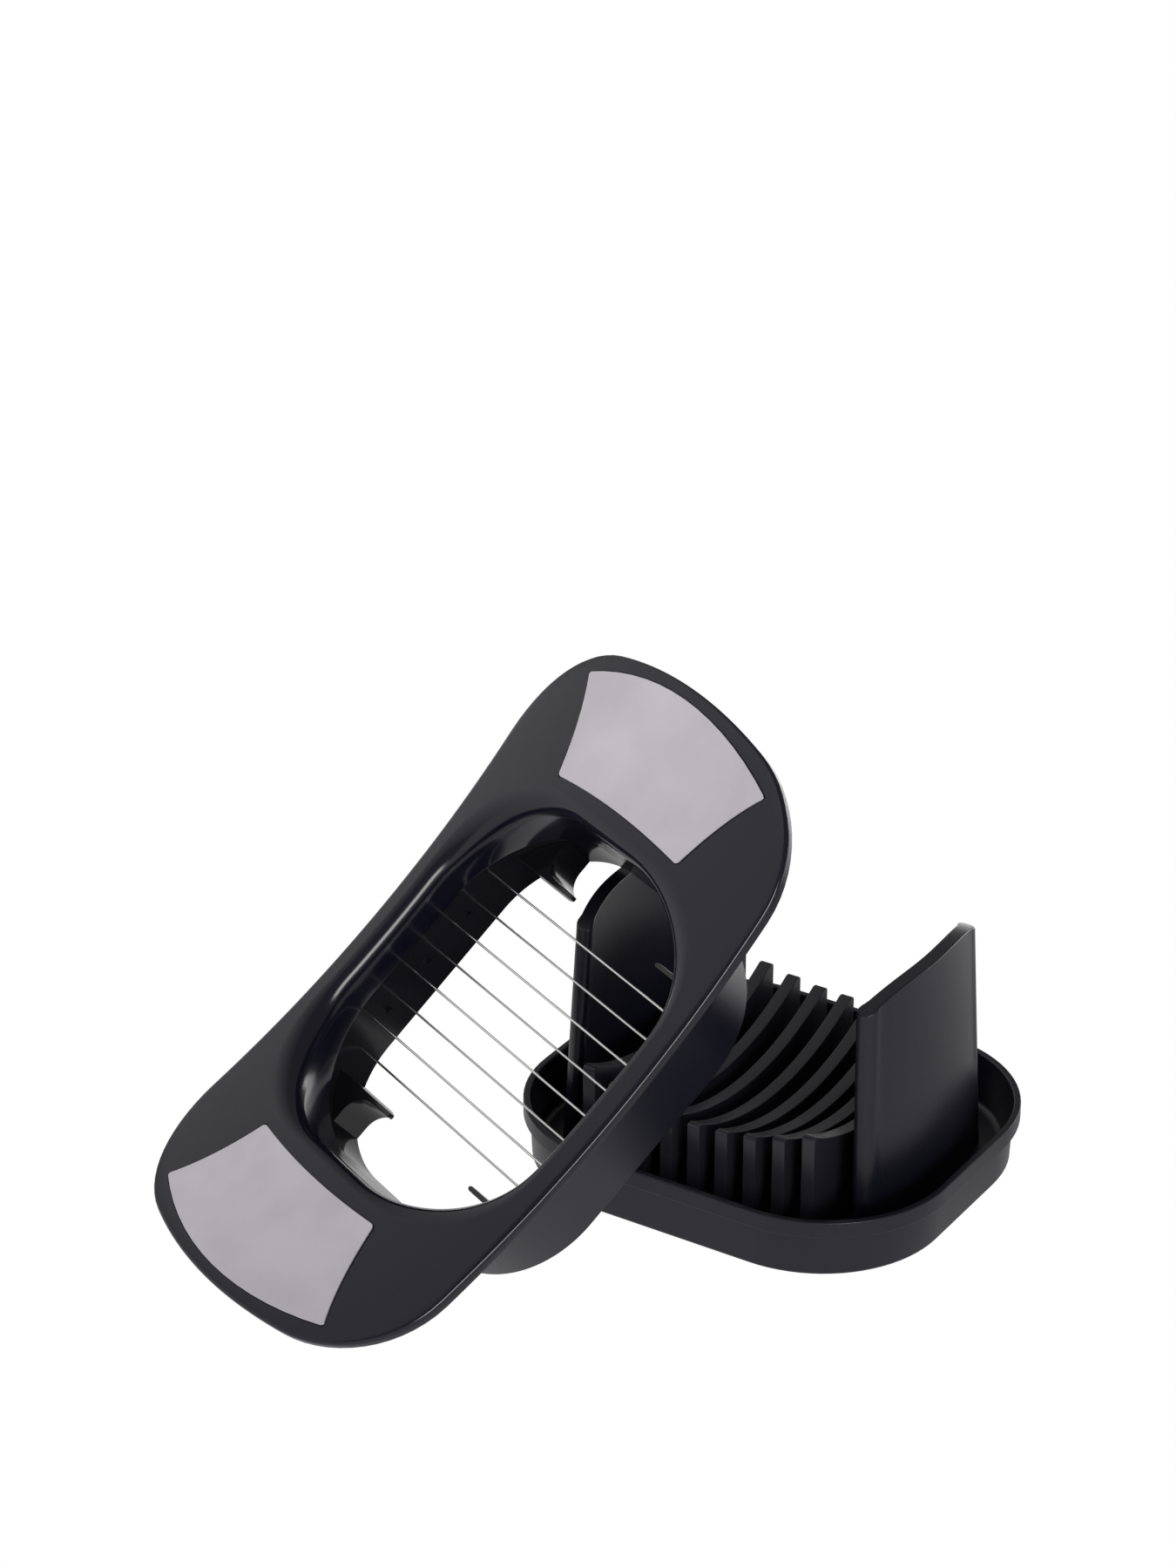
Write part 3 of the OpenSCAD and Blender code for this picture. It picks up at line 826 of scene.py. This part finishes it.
def markPolish(piece):
    # polished round the opening, on the rolled edge and the wall inside it, and round the rim
    corner = shell["openingCorner"]
    straight = Vector((shell["openingX"], shell["openingY"])) - Vector((1, 1)) * corner
    rimTop, rimFoot = shell["polishRim"]
    polish = piece.data.attributes.new("polish", "FLOAT", "POINT")
    for point, mark in zip(piece.data.vertices, polish.data):
        x, y, z = point.co
        out = math.hypot(max(abs(x) - straight.x, 0), max(abs(y) - straight.y, 0)) - corner
        depth = topHeight(x, y) - z
        rolled = out < shell["polishRoll"] and depth < shell["sheet"]
        rim = out > shell["funnel"] and rimTop < depth < rimFoot
        mark.value = 1.0 if rolled or rim or out < shell["polishIn"] else 0.0


def makePressShell():
    # a ring of cells of any size, drawn out station by station along the section
    stations = stationsRound()
    across = len(pressSection(*stations[0]))
    bpy.ops.mesh.primitive_torus_add(major_segments=len(stations), minor_segments=across,
                                     major_radius=0.06, minor_radius=0.01, location=(0, 0, 0))
    piece = bpy.context.object
    rows = [pressSection(*station) for station in stations]
    for point in piece.data.vertices:
        point.co = rows[point.index // across][point.index % across]
    tidyFaces(piece, 0.002 * mm)
    finishWith(piece, "BEVEL", width=shell["edge"], segments=2, limit_method="ANGLE",
               angle_limit=math.radians(shell["edgeAngle"]))
    # seats for the two steel plates
    cutter = makePlateBlank(plate["gap"], plate["seatTop"])
    for turn in (Matrix.Identity(4), halfTurn):
        cutter.matrix_world = turn
        bpy.context.view_layer.update()
        finishWith(piece, "BOOLEAN", object=cutter, operation="DIFFERENCE", solver="EXACT")
    bpy.data.objects.remove(cutter)
    markPolish(piece)
    pickOnly(piece)
    bpy.ops.object.shade_smooth_by_angle(angle=math.radians(shell["smoothAngle"]))
    piece.matrix_world = toPress
    return handOver(piece, "pressShell", "press", "press_plastic", "press_frame")


wire = {
    "turnFrom": 36.2 * mm,  # past here from the middle a wire is in its turn
    "intoWall": 0.55 * mm,
}


def makeWire(number):
    # the turn over to the next wire lies in the ring's wall
    node = "wire_%d" % number
    piece = copyOf(node)
    back = toPress.inverted()
    side = 1 if number % 2 == 0 else -1
    pickPoints(piece, lambda co: side * (back @ co).y > wire["turnFrom"])
    outward = toPress.to_3x3() @ Vector((0, side * wire["intoWall"], 0))
    bpy.ops.transform.translate(value=outward)
    done()
    pickOnly(piece)
    bpy.ops.object.shade_smooth_by_angle(angle=math.radians(50))
    return handOver(piece, "cuttingWire%d" % number, "press", "wire_steel", node)


fin = {
    "flat": 0.5,  # degrees: faces flatter than this are joined before the edges are rounded
    "edge": 0.3 * mm,
}


def makeFin(number):
    node = "guide_fin_%d" % number
    piece = copyOf(node)
    edit(piece, "SELECT")
    bpy.ops.mesh.dissolve_limited(angle_limit=math.radians(fin["flat"]))
    done()
    softEdges(piece, fin["edge"], steps=2)
    return handOver(piece, "guideFin%d" % number, "press", "inner_plastic", node)


def makeRing():
    piece = copyOf("wire_ring")
    pickOnly(piece)
    bpy.ops.object.shade_smooth_by_angle(angle=math.radians(30))
    return handOver(piece, "wireRing", "press", "inner_plastic", "wire_ring")


makePressShell()
makeRing()
for number in range(1, 5):
    makeFin(number)
for number in range(1, 9):
    makeWire(number)
makeGripPlates()
print("press made")
